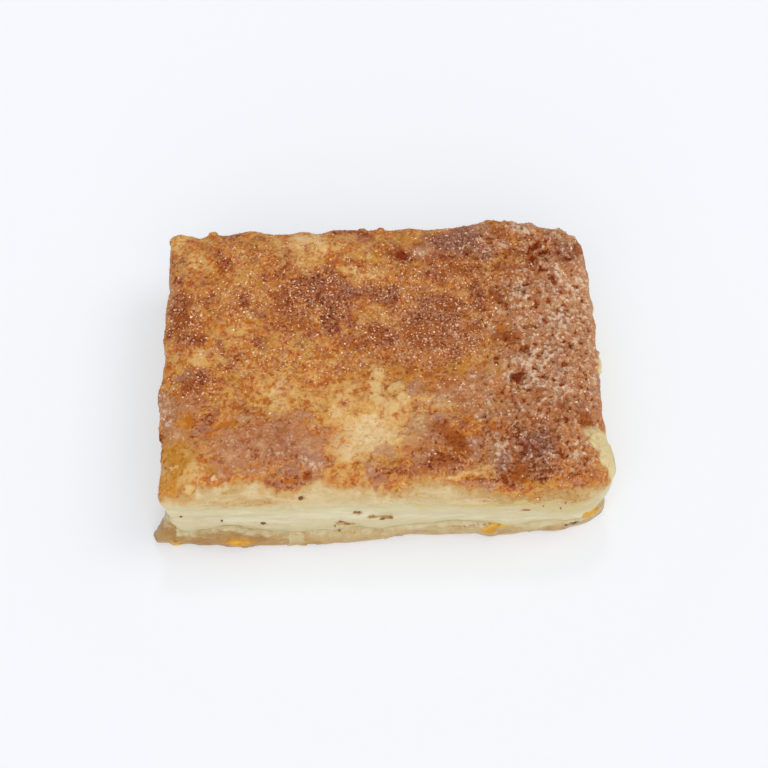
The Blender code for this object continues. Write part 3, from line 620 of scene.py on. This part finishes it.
def base_crust():
    """The lower dough, moist and tan, with a few golden bits along its front."""
    piece = skin_of("base_crust", 0.34)
    thinned(piece, lambda upward: abs(upward) > 0.8, 0.06)
    places, normals = points_of(piece)
    under_filling = depth_from(places, normals, 1)
    side = weighed(piece, "side", ease(places[:, 2], 0.2, 1.4))
    flush = weighed(piece, "flush", ease(-under_filling, -2.4, -0.4))
    raised(piece, 0.5, flush)
    raised(piece, 0.8, side, 2.2, 2)
    raised(piece, 0.3, side, 0.8)
    piece.vertex_groups.clear()
    places = points_of(piece)[0]
    x, z = seen_on_front(places)
    pressed(piece, GOLDEN_BITS, 0.4, x, z)
    set_down(piece)
    wander = wandering(places, 1.2, 0.4, 6)
    browned = 0.62 * ease(-places[:, 2], -4.2, -1.4)
    painted(piece, "amber", np.maximum(ease(-places[:, 0], 6, 24), browned))
    painted(piece, "creamy", ease(-under_filling, -1.9, 0.5))
    painted(piece, "golden", covered(GOLDEN_BITS, x, z, wander))
    painted(piece, "scorched", covered(SCORCHED_BITS, x, z, wander))
    settled(piece, "base_crust", baked_dough())
    return piece


def add(tree, kind, settings, inputs):
    """Adds a shader node with its settings; an input is a value or the socket that feeds it."""
    node = tree.nodes.new("ShaderNode" + kind)
    for key, value in settings.items():
        setattr(node, key, value)
    for key, value in inputs.items():
        if isinstance(value, bpy.types.NodeSocket):
            tree.links.new(value, node.inputs[key])
        else:
            node.inputs[key].default_value = value
    return node


def new_material(name):
    """A material with nothing in it yet, and its node tree."""
    material = bpy.data.materials.new(name)
    material.use_nodes = True
    material.node_tree.nodes.clear()
    return material, material.node_tree


# What the sugar's colours depend on
SUGAR_AMOUNTS = (
    "cinnamon", "bare", "frost", "mauve", "caramel", "crag_crust_and_highlight", "crevice_caramel_and_shade", "cracked", "syrup", "dough",
    "pit",
)


def carried(tree, names):
    """The amounts that a piece's points carry, by name."""
    return {name: add(tree, "Attribute", {"attribute_name": name}, {}).outputs["Fac"] for name in names}


def packed_grains(tree, size):
    """Grains of that size side by side: a random shade for each, and their rounded tops."""
    place = add(tree, "TexCoord", {}, {}).outputs["Object"]
    grains = add(tree, "TexVoronoi", {}, {"Vector": place, "Scale": 1 / (size * MM)})
    height = add(tree, "Math", {"operation": "SUBTRACT"}, {0: 1.0, 1: grains.outputs["Distance"]}).outputs[0]
    return grains.outputs["Color"], height


def speckles(tree, sizes, stretch=(1, 1, 1)):
    """Noise at each of the sizes, in millimetres, on the piece's own coordinates."""
    place = add(tree, "TexCoord", {}, {}).outputs["Object"]
    if stretch != (1, 1, 1):
        place = add(tree, "Mapping", {}, {"Vector": place, "Scale": stretch}).outputs[0]
    found = {}
    for size in sizes:
        found[size] = add(tree, "TexNoise", {}, {
            "Vector": place, "Scale": 1 / (size * MM), "Detail": 2.0, "Roughness": 0.55,
        }).outputs["Fac"]
    return found


def coated(tree, colour, coats, noises, amounts):
    """Lays coats over a colour one by one.

    A coat is the attribute that carries it, the noise that breaks it up and by how much, where it
    starts and where it is whole, its colour and how well it covers."""
    for amount, speckle, gain, low, high, shade, cover in coats:
        broken = add(tree, "Math", {"operation": "MULTIPLY_ADD"}, {
            0: noises[speckle], 1: gain, 2: -0.5 * gain,
        }).outputs[0]
        if amount:
            broken = add(tree, "Math", {"operation": "ADD"}, {0: broken, 1: amounts[amount]}).outputs[0]
        share = add(tree, "MapRange", {"interpolation_type": "SMOOTHSTEP"}, {
            "Value": broken, "From Min": low, "From Max": high, "To Min": 0.0, "To Max": cover,
        }).outputs[0]
        colour = add(tree, "Mix", {"data_type": "RGBA"}, {0: share, 6: colour, 7: linear(shade)}).outputs[2]
    return colour


def bumped(tree, heights, strength=1.0):
    """Fine relief: one bump over another, each from a noise and its height in millimetres."""
    normal = None
    for height, most in heights:
        inputs = {"Height": height, "Strength": strength, "Distance": most * MM}
        if normal:
            inputs["Normal"] = normal
        normal = add(tree, "Bump", {}, inputs).outputs[0]
    return normal


def finished(tree, inputs):
    """The surface shader and the material's output."""
    shader = add(tree, "BsdfPrincipled", {}, inputs)
    add(tree, "OutputMaterial", {}, {"Surface": shader.outputs[0]})


def sugar_colour(tree, amounts, noises):
    """The colours of the cinnamon sugar, from the golden dough below it to its dried crust."""
    # On the crust, coats with a negative gain on the 1 mm and 0.5 mm noise, which the bump also follows, are
    # dark and lie in its hollows, and the palest of those with a positive gain lie on its crests: painted
    # shade and painted highlight, along with the sugar's own dark and pale
    return coated(tree, linear("#D29242"), (
        ("", 4, 1.2, -0.1, 0.16, "#E0B25E", 0.9),
        ("", 2, -1.4, -0.22, 0.34, "#BE5C1E", 0.85),
        ("", 1, -1.4, -0.16, 0.36, "#AE4E16", 0.65),
        ("cinnamon", 2, 1.8, 0.15, 0.8, "#A44C1E", 0.94),
        ("", 1.4, 3.0, 0.0, 0.5, "#B87C62", 0.45),
        ("", 1.4, -3.0, 0.0, 0.5, "#CE841E", 0.45),
        ("", "grain", 1.0, 0.0, 0.3, "#F2B670", 0.28),
        ("", "grain", -1.0, 0.05, 0.3, "#8C4A14", 0.32),
        ("", 0.5, -3.0, 0.34, 0.7, "#7E3604", 0.7),
        ("syrup", 2, 0.8, 0.3, 0.8, "#C88A30", 0.9),
        ("syrup", 4, 3.0, 0.9, 1.5, "#DDB06C", 0.8),
        ("syrup", 1, -3.0, 1.0, 1.5, "#B0620C", 0.6),
        ("bare", 2, 1.6, 0.2, 0.95, "#E0AE64", 0.92),
        ("bare", 1, 1.0, 0.55, 1.15, "#EACE9C", 0.9),
        ("bare", 2, 2.0, 0.95, 1.5, "#F4E2BE", 0.5),
        ("bare", "grain", -1.6, 1.25, 1.75, "#BE8440", 0.5),
        ("bare", 0.5, 3.0, 1.15, 1.6, "#B87C3C", 0.5),
        ("cinnamon", 4, 3.0, 0.6, 1.2, "#9E604C", 0.35),
        ("cinnamon", 4, -3.0, 0.6, 1.2, "#A0480C", 0.35),
        ("cinnamon", 1, -2.2, 0.5, 1.1, "#80300A", 0.85),
        ("cinnamon", 0.5, -3.0, 0.85, 1.4, "#4C1A04", 0.82),
        ("cinnamon", "grain", 2.0, 0.8, 1.5, "#D0905E", 0.38),
        ("frost", 1, 1.4, 0.2, 0.85, "#BE8258", 0.85),
        ("frost", 4, 3.0, 0.8, 1.6, "#B27E6A", 0.65),
        ("frost", 2, -3.0, 0.8, 1.5, "#D6AE7E", 0.7),
        ("frost", 1, 3.0, 0.95, 1.7, "#E0B294", 0.5),
        ("frost", 1, -3.0, 0.95, 1.7, "#A0541E", 0.48),
        ("mauve", 1, 2.0, 0.25, 1.0, "#A46E5A", 0.8),
        ("mauve", 0.5, -3.0, 0.7, 1.4, "#74402A", 0.6),
        # Paler dried sugar and a painted highlight on the raised crags
        ("crag_crust_and_highlight", 0.5, 2.4, 0.15, 1.1, "#E9CCAE", 0.82),
        ("caramel", 1, 1.8, 0.2, 1.0, "#A4520E", 0.8),
        ("dough", 1, 1.4, 0.25, 0.95, "#DAB678", 0.75),
        # The palest dough, on the crests of the bump's 1 mm noise, is a painted highlight on the hook
        ("dough", 1, 3.0, 0.85, 1.6, "#EEDAA2", 0.55),
        # Caramel and painted shade in the crevices
        ("crevice_caramel_and_shade", 1, 1.6, 0.2, 0.8, "#903A04", 0.92),
        ("cracked", 1, 1.2, 0.4, 1.0, "#BC640C", 0.8),
        # Caramel and painted shade in the pits
        ("pit", 1, 0.8, 0.4, 0.85, "#8A2C00", 0.9),
    ), noises, amounts)


def caramelised_cinnamon_sugar():
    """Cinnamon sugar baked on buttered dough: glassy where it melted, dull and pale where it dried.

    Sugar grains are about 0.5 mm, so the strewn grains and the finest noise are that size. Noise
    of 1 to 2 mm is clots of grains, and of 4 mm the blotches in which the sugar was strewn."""
    material, tree = new_material("caramelised_cinnamon_sugar")
    amounts = carried(tree, SUGAR_AMOUNTS + ("topping", "stained", "creamy", "toasted", "peeled", "smooth"))
    noises = speckles(tree, (4, 2, 1.4, 1, 0.5))
    noises["grain"], domes = packed_grains(tree, 0.55)
    sugared = sugar_colour(tree, amounts, noises)
    noises.update(speckles(tree, (2.5, 0.9), (0.5, 0.5, 1.6)))
    side = coated(tree, linear("#DBC496"), (
        ("", 2.5, 1.0, -0.1, 0.15, "#CEB484", 0.8),
        ("", 0.9, 1.0, 0.0, 0.16, "#E4D3A6", 0.6),
        ("stained", 2, 1.6, 0.1, 0.9, "#C6964E", 0.7),
        ("stained", 1, 2.0, 0.7, 1.4, "#B06A2C", 0.7),
        ("", 0.5, 1.0, 0.14, 0.2, "#B98040", 0.35),
        ("creamy", 2, 1.0, 0.2, 0.9, CREAM, 0.9),
        ("toasted", 0.9, 1.8, 0.1, 1.1, "#BE8E4A", 0.78),
        ("toasted", 0.5, 3.0, 0.9, 1.5, "#94521C", 0.7),
        ("peeled", 2, 0.8, 0.3, 0.8, "#E4D09A", 0.9),
    ), noises, amounts)
    share = add(tree, "Math", {"operation": "MULTIPLY_ADD"}, {0: noises[1], 1: 1.0, 2: amounts["topping"]})
    edge = add(tree, "MapRange", {"interpolation_type": "SMOOTHSTEP"}, {
        "Value": share.outputs[0], "From Min": 0.6, "From Max": 1.35,
    }).outputs[0]
    colour = add(tree, "Mix", {"data_type": "RGBA"}, {0: edge, 6: side, 7: sugared}).outputs[2]
    dull = add(tree, "MapRange", {}, {
        "Value": amounts["frost"], "From Min": 0.2, "From Max": 0.9, "To Min": 0.34, "To Max": 0.6,
    }).outputs[0]
    gloss = add(tree, "MapRange", {}, {
        "Value": amounts["syrup"], "From Min": 0.3, "From Max": 0.9, "To Min": 0.0, "To Max": 0.14,
    }).outputs[0]
    rough = add(tree, "MapRange", {}, {
        "Value": amounts["smooth"], "To Min": 1.0, "To Max": 0.4,
    }).outputs[0]
    finished(tree, {
        "Base Color": colour,
        "Roughness": add(tree, "Math", {"operation": "SUBTRACT"}, {0: dull, 1: gloss}).outputs[0],
        "IOR": 1.49,
        "Specular IOR Level": 0.1,
        "Subsurface Weight": 0.1,
        "Subsurface Radius": (1.0, 0.45, 0.2),
        "Subsurface Scale": 0.8 * MM,
        "Normal": bumped(tree, ((noises[1], 0.3), (domes, 0.12), (noises[0.5], 0.15)), rough),
    })
    return material


def cream_cheese():
    """Baked cream cheese: dense, moist and ivory, so light goes a few millimetres in."""
    material, tree = new_material("baked_cream_cheese")
    amounts = carried(tree, ("smeared", "yellowed", "cream_highlight", "golden", "buttery"))
    noises = speckles(tree, (5, 0.6))
    noises.update(speckles(tree, (2,), (0.4, 0.4, 1.6)))
    colour = coated(tree, linear(CREAM), (
        ("", 5, 1.0, -0.1, 0.2, "#D2C096", 0.8),
        ("", 2, 1.0, 0.0, 0.2, "#DED4AE", 0.7),
        # A lighter band, painted as a highlight
        ("cream_highlight", 2, 1.6, 0.2, 1.0, "#E2D9B8", 0.85),
        ("yellowed", 2, 1.2, 0.1, 0.9, "#CCB678", 0.9),
        ("smeared", 0.6, 1.6, 0.2, 1.1, "#C09444", 0.8),
        ("smeared", 0.6, 3.0, 0.8, 1.4, "#946020", 0.7),
        ("golden", 0.6, 1.6, 0.2, 0.75, "#D29E00", 1.0),
        ("buttery", 2, 1.6, 0.3, 0.9, "#C3A878", 0.75),
    ), noises, amounts)
    finished(tree, {
        "Base Color": colour,
        "Roughness": 0.32,
        "IOR": 1.45,
        "Subsurface Weight": 0.35,
        "Subsurface Radius": (1.0, 0.75, 0.4),
        "Subsurface Scale": 2.0 * MM,
        "Normal": bumped(tree, ((noises[2], 0.16), (noises[0.6], 0.09))),
    })
    return material


def baked_dough():
    """Rolled dough baked under a moist filling: tan, a little clear and greasy with butter."""
    material, tree = new_material("baked_dough")
    amounts = carried(tree, ("golden", "scorched", "amber", "creamy"))
    noises = speckles(tree, (4, 0.5))
    noises.update(speckles(tree, (1.4,), (0.5, 0.5, 1.8)))
    colour = coated(tree, linear("#C6AE7E"), (
        ("", 4, 1.0, -0.1, 0.15, "#BF9E62", 0.7),
        ("", 1.4, 1.0, 0.0, 0.2, "#D6C498", 0.7),
        ("amber", 1.4, 1.6, 0.2, 1.1, "#A8782E", 0.8),
        ("amber", 4, 3.0, 0.7, 1.3, "#94601C", 0.4),
        ("", 0.5, 1.0, 0.1, 0.2, "#B28A4C", 0.4),
        ("creamy", 1.4, 1.8, 0.3, 1.0, CREAM, 0.8),
        ("golden", 0.5, 1.6, 0.15, 0.7, "#C88C10", 0.97),
        ("golden", 1.4, 3.0, 0.6, 1.3, "#E8BA34", 0.75),
        ("scorched", 0.5, 1.2, 0.3, 0.7, "#7A4A26", 0.8),
    ), noises, amounts)
    finished(tree, {
        "Base Color": colour,
        "Roughness": 0.25,
        "IOR": 1.47,
        "Subsurface Weight": 0.3,
        "Subsurface Radius": (1.0, 0.6, 0.25),
        "Subsurface Scale": 1.6 * MM,
        "Normal": bumped(tree, ((noises[1.4], 0.2), (noises[0.5], 0.12))),
    })
    return material


def granulated_sugar():
    """Sugar grains in caramel: they take the colour of what they lie in, lighter or darker by each grain's
    tint. The darkest are dark caramel and painted shade on their facets, and the lightest near-white painted
    glints.
    """
    material, tree = new_material("granulated_sugar")
    noises = speckles(tree, (4, 2, 1.4, 1, 0.5))
    noises["grain"] = packed_grains(tree, 0.55)[0]
    colour = sugar_colour(tree, carried(tree, SUGAR_AMOUNTS), noises)
    tint = carried(tree, ("tint",))["tint"]
    # Low tints paint a grain dark, caramel and painted shade; high tints paint it lighter, the highest
    # near-white as painted glints
    for low, high, shade, cover in (
        (0.35, 0.05, "#70300A", 0.5), (0.4, 0.95, "#F0B070", 0.4), (0.82, 0.95, "#FFDEB8", 0.95),
    ):
        share = add(tree, "MapRange", {}, {
            "Value": tint, "From Min": low, "From Max": high, "To Min": 0.0, "To Max": cover,
        }).outputs[0]
        colour = add(tree, "Mix", {"data_type": "RGBA"}, {0: share, 6: colour, 7: linear(shade)}).outputs[2]
    finished(tree, {"Base Color": colour, "Roughness": 0.12, "IOR": 1.45})
    return material


def tinted(name, dark, light, surface):
    """A material that runs from dark to light with each small piece's own tint."""
    material, tree = new_material(name)
    tint = carried(tree, ("tint",))["tint"]
    colour = add(tree, "Mix", {"data_type": "RGBA"}, {0: tint, 6: linear(dark), 7: linear(light)}).outputs[2]
    finished(tree, {"Base Color": colour, **surface})
    return material


def ground_cinnamon():
    """Ground cinnamon bark: dull red-brown flecks, darker where the oven caught them."""
    return tinted("ground_cinnamon", "#6C2C0A", "#C07C3A", {"Roughness": 0.8, "Specular IOR Level": 0.2})


def scorched_crumb():
    """Toasted crumbs and sugar burnt to dark brown, dull and uneven."""
    return tinted("scorched_crumb", "#6E3E1C", "#C88E4A", {"Roughness": 0.55})


def crystal():
    """One sugar crystal: a small slab with slanting ends, its longest side one unit."""
    bpy.ops.object.select_all(action="DESELECT")
    bpy.ops.mesh.primitive_cube_add(size=1)
    piece = bpy.context.active_object
    with editing():
        bpy.ops.transform.resize(value=(1, 0.8, 0.6))
    for vertex in piece.data.vertices:
        vertex.select = vertex.co.z > 0
    with editing():
        bpy.ops.transform.resize(value=(0.7, 0.75, 1))
    return piece


def fleck():
    """One fleck of cinnamon: a flat eight-sided chip, one unit across."""
    bpy.ops.object.select_all(action="DESELECT")
    bpy.ops.mesh.primitive_uv_sphere_add(segments=4, ring_count=2, radius=0.5)
    with editing():
        bpy.ops.transform.resize(value=(1, 0.8, 0.5))
    return bpy.context.active_object


def strewn(name, pattern, crust, density, count, sizes, sunk, draw, material):
    """Copies of one small piece over a crust, joined: thickest where the density is high.

    Each gets a size of its own, and the given share of that size is sunk into the crust."""
    mesh = crust.data
    mesh.calc_loop_triangles()
    corners = read(mesh.loop_triangles, "vertices", kind=np.int32)
    places, normals = points_of(crust)
    a, b, c = (places[corners[:, i]] for i in range(3))
    area = np.linalg.norm(np.cross(b - a, c - a), axis=1)
    odds = area * density[corners].mean(axis=1)
    chosen = draw.choice(len(corners), count, p=odds / odds.sum())
    one, two = draw.random((2, count, 1))
    flip = one + two > 1
    one, two = np.where(flip, 1 - one, one), np.where(flip, 1 - two, two)
    across = draw.uniform(*sizes, (count, 1, 1))
    spots = a[chosen] + (b[chosen] - a[chosen]) * one + (c[chosen] - a[chosen]) * two
    spots -= normals[corners[chosen, 0]] * across[:, 0] * sunk
    turn = draw.normal(size=(count, 4))
    w, i, j, k = (turn / np.linalg.norm(turn, axis=1, keepdims=True)).T
    turned = np.array([
        [1 - 2 * (j * j + k * k), 2 * (i * j - k * w), 2 * (i * k + j * w)],
        [2 * (i * j + k * w), 1 - 2 * (i * i + k * k), 2 * (j * k - i * w)],
        [2 * (i * k - j * w), 2 * (j * k + i * w), 1 - 2 * (i * i + j * j)],
    ]).transpose(2, 0, 1)
    one_piece = np.array([vertex.co for vertex in pattern.data.vertices])
    faces = [tuple(face.vertices) for face in pattern.data.polygons]
    bpy.data.objects.remove(pattern)
    points = (np.einsum("nij,vj->nvi", turned, one_piece) * across + spots[:, None]) * MM
    whole = bpy.data.meshes.new(name)
    step = len(one_piece)
    whole.from_pydata(
        points.reshape(-1, 3), [], [tuple(v + n * step for v in face) for n in range(count) for face in faces]
    )
    piece = bpy.data.objects.new(name, whole)
    bpy.context.collection.objects.link(piece)
    # For the sugar grains this tint also sets their painted glints and painted shade
    painted(piece, "tint", np.repeat(draw.random(count), step))
    for amount in SUGAR_AMOUNTS:
        painted(piece, amount, np.repeat(amount_on(crust, amount)[corners[chosen, 0]], step))
    settled(piece, None, material)
    bpy.ops.object.shade_flat()


def strew(crust):
    """Loose sugar grains, which glitter, partly by painted near-white glints, and ground cinnamon."""
    draw = np.random.default_rng(7)
    places, normals = points_of(crust)
    x, y = seen_on_top(places)
    topping = amount_on(crust, "topping") * (normals[:, 2] > 0.1)
    open_top = topping * (1 - amount_on(crust, "pit"))
    wander = wandering(places, 3.0, 1.0, 8)
    syrup = np.minimum(amount_on(crust, "syrup"), 1)
    bare = np.minimum(amount_on(crust, "bare"), 1)
    open_top *= (1 - 0.6 * bare) * (1 - 0.7 * syrup)
    # Few grains lie loose on the syrupy left front
    quiet = 0.9 * ease(-x, -4, 4) * ease(-y, 11, 15)
    glitter = (0.06 + covered(GLITTER, x, y, wander)) * (1 - quiet) * open_top
    strewn("sugar_grains", crystal(), crust, glitter, GRAIN_COUNT, GRAIN_SIZES, 0.3, draw, granulated_sugar())
    dusted = topping * (1 - 0.8 * syrup) * (1 - 0.5 * bare) + 0.015 * (1 - amount_on(crust, "peeled"))
    strewn("cinnamon_flecks", fleck(), crust, dusted, FLECK_COUNT, FLECK_SIZES, 0.2, draw, ground_cinnamon())


def front_crumbs(layers):
    """The few crumbs and pricks on the front, each half sunk into the layer that it lies on."""
    places = np.concatenate([points_of(layer)[0] for layer in layers])
    seen = np.column_stack(seen_on_front(places))
    crumbs = []
    for crumb in CRUMBS:
        near = np.flatnonzero(np.hypot(*(seen - (crumb.x, crumb.y)).T) < CRUMB_REACH)
        place = places[near[np.argmin(places[near, 1])]]
        bpy.ops.object.select_all(action="DESELECT")
        bpy.ops.mesh.primitive_uv_sphere_add(segments=16, ring_count=8, radius=0.5 * MM)
        piece = bpy.context.active_object
        with editing():
            bpy.ops.transform.resize(value=(crumb.across, CRUMB_THICKNESS, crumb.deep))
            bpy.ops.transform.rotate(value=radians(crumb.turn), orient_axis="Y")
            bpy.ops.transform.translate(value=Vector(place) * MM)
        painted(piece, "tint", np.full(len(piece.data.vertices), crumb.amount))
        crumbs.append(piece)
    only(crumbs[0])
    for piece in crumbs:
        piece.select_set(True)
    bpy.ops.object.join()
    piece = bpy.context.active_object
    piece.name = "front_crumbs"
    raised(piece, 0.3, "", 0.6)
    settled(piece, None, scorched_crumb())


def floor():
    """A white light table, wide enough for every view from above: its own glow lifts the shadows."""
    bpy.ops.object.select_all(action="DESELECT")
    bpy.ops.mesh.primitive_plane_add(size=6)
    piece = bpy.context.active_object
    piece.name = "floor"
    material, tree = new_material("lit_white_acrylic")
    finished(tree, {
        "Base Color": linear("#D0D2D4"), "Roughness": 0.9, "Specular IOR Level": 0.1,
        "Emission Color": linear("#F2F5F9"), "Emission Strength": 0.34,
    })
    piece.data.materials.append(material)


def soft_light(name, breadth, azimuth, height, strength):
    """A far soft light as broad as that angle, from an azimuth and a height, all in degrees."""
    light = bpy.data.lights.new(name, "SUN")
    light.angle = radians(breadth)
    light.energy = strength
    light.color = linear("#FFFCF8")[:3]
    lamp = bpy.data.objects.new(name, light)
    bpy.context.collection.objects.link(lamp)
    side, up = radians(azimuth), radians(height)
    towards = Vector((cos(up) * cos(side), cos(up) * sin(side), sin(up)))
    lamp.location = towards * LAMP_DISTANCE
    lamp.rotation_euler = towards.to_track_quat("Z", "Y").to_euler()


def lights():
    """An even bright room, a window on the right, a white board in front and a lamp behind for glints."""
    world = bpy.data.worlds.new("room")
    bpy.context.scene.world = world
    world.use_nodes = True
    background = world.node_tree.nodes["Background"]
    background.inputs["Color"].default_value = linear("#F1F4FC")
    background.inputs["Strength"].default_value = 0.56
    soft_light("window", 34, 8, 50, 0.62)
    soft_light("bounce", 70, -95, 42, 1.28)
    soft_light("lamp", 8, 85, 58, 0.24)


def camera():
    """The camera, at the angle and the distance that the bar's own edges give."""
    data = bpy.data.cameras.new("camera")
    data.lens = CAMERA_LENS
    data.clip_start = 0.01
    piece = bpy.data.objects.new("camera", data)
    bpy.context.collection.objects.link(piece)
    back = Vector((0, -cos(CAMERA_HEIGHT), sin(CAMERA_HEIGHT)))
    place = (Vector(CAMERA_AIM) + back * CAMERA_DISTANCE) * MM
    tilt = Matrix.Rotation(pi / 2 - CAMERA_HEIGHT, 4, "X")
    piece.matrix_world = Matrix.Translation(place) @ tilt @ Matrix.Rotation(-CAMERA_ROLL, 4, "Z")
    bpy.context.scene.camera = piece


camera()
lights()
floor()
crusts = base_crust(), filling(), top_crust()
front_crumbs(crusts)
strew(crusts[2])
bpy.context.scene.view_settings.view_transform = "Standard"
